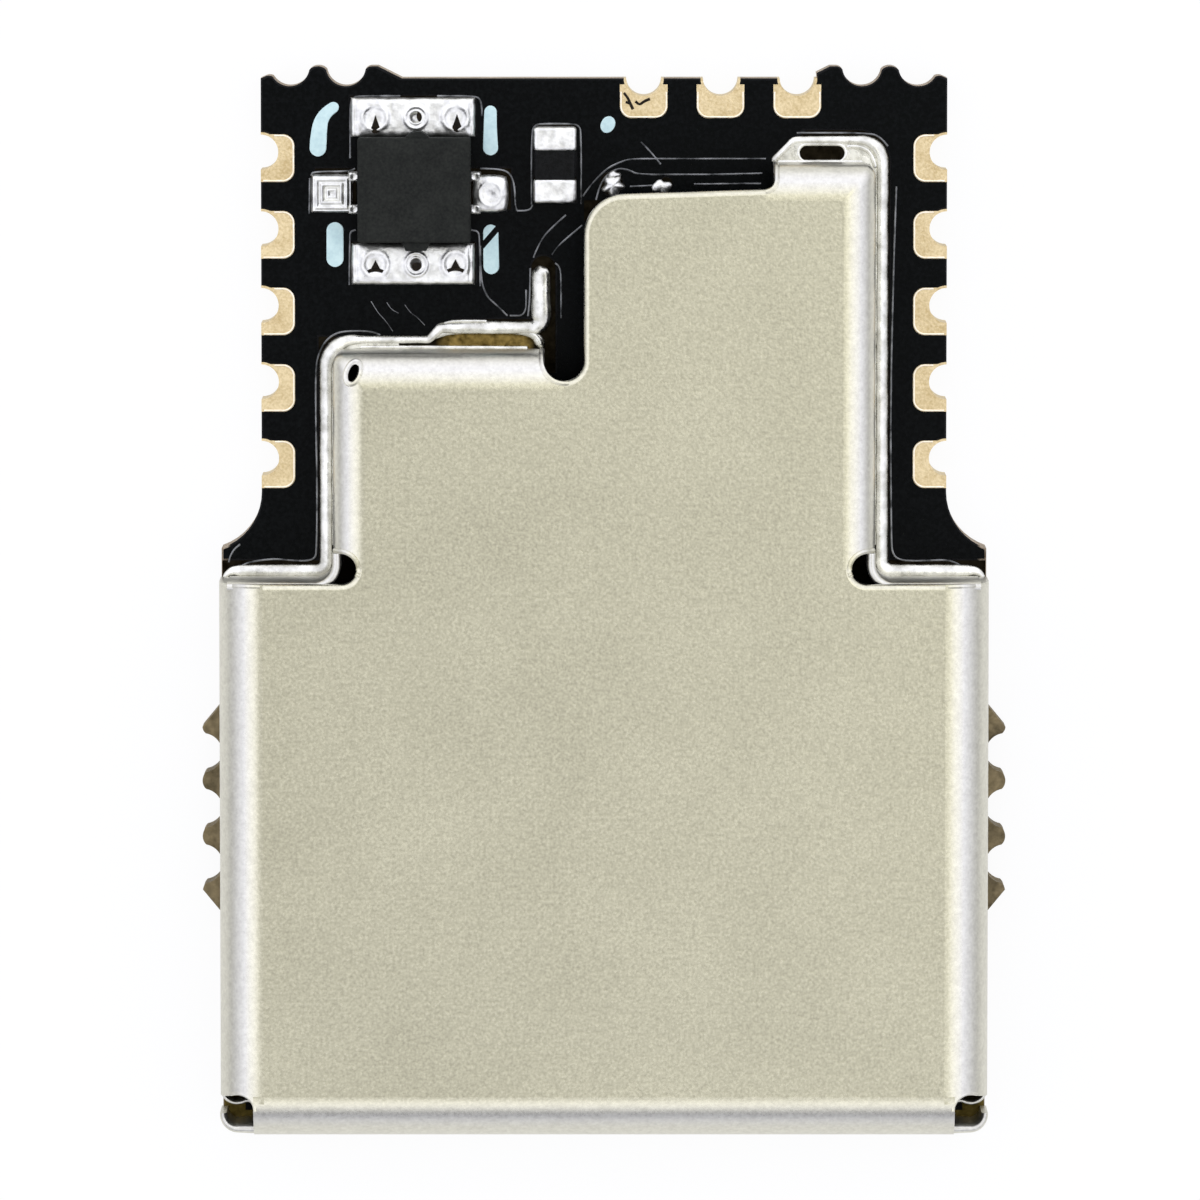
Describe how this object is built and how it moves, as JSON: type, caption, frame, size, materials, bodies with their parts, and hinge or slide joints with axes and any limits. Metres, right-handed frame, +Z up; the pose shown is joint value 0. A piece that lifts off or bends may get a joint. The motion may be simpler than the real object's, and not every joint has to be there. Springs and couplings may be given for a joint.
{
  "type": "radio module",
  "caption": "Small surface-mount radio module: a black circuit board with castellated edge pads, under a folded metal shield can, that gives a larger board a wireless link.",
  "frame": {"origin": "middle of the board's outline, on the underside that is soldered down", "axes": "+X towards the right-hand row of pads, +Y towards the edge with the top row of pads, +Z up from the board to the shield can"},
  "size_m": [0.0134, 0.0178, 0.0024],
  "materials": {
    "laminate": "bare routed glass-epoxy",
    "solder_mask": "semi-gloss black",
    "gold_plating": "satin gold over copper",
    "solder": "bright reflowed tin",
    "nickel_silver": "satin rolled sheet",
    "filter_black": "matte",
    "chip_glaze": "glazed",
    "tin_plate": "bright tin plate",
    "print_ink": "matte pale blue ink",
    "mould_compound": "matte",
    "brown_ceramic": "fired",
    "blue_ceramic": "fired",
    "tan_ceramic": "fired",
    "ferrite": "fired"
  },
  "bodies": {
    "root": {"circuit_board": "laminate", "solder_mask_top": "solder_mask", "solder_mask_bottom": "solder_mask", "castellated_pads_left": "gold_plating", "castellated_pads_right": "gold_plating", "castellated_pads_top": "gold_plating", "ground_land": "gold_plating", "component_lands": "gold_plating", "shield_solder": "solder", "solder_blobs": "solder", "shield_can": "nickel_silver", "filter_body": "filter_black", "filter_end_terminals": "solder", "filter_side_terminals": "solder", "chip_resistor_body": "chip_glaze", "chip_resistor_caps": "tin_plate", "silkscreen_marks": "print_ink", "transceiver_body": "mould_compound", "transceiver_leads": "tin_plate", "oscillator_base": "brown_ceramic", "oscillator_lid": "tin_plate", "rf_switch_body": "mould_compound", "rf_switch_leads": "tin_plate", "power_inductor_body": "ferrite", "power_inductor_terminals": "tin_plate", "matching_inductor_bodies": "blue_ceramic", "matching_inductor_terminals": "tin_plate", "capacitor_bodies": "tan_ceramic", "capacitor_end_caps": "tin_plate"}
  },
  "joints": []
}
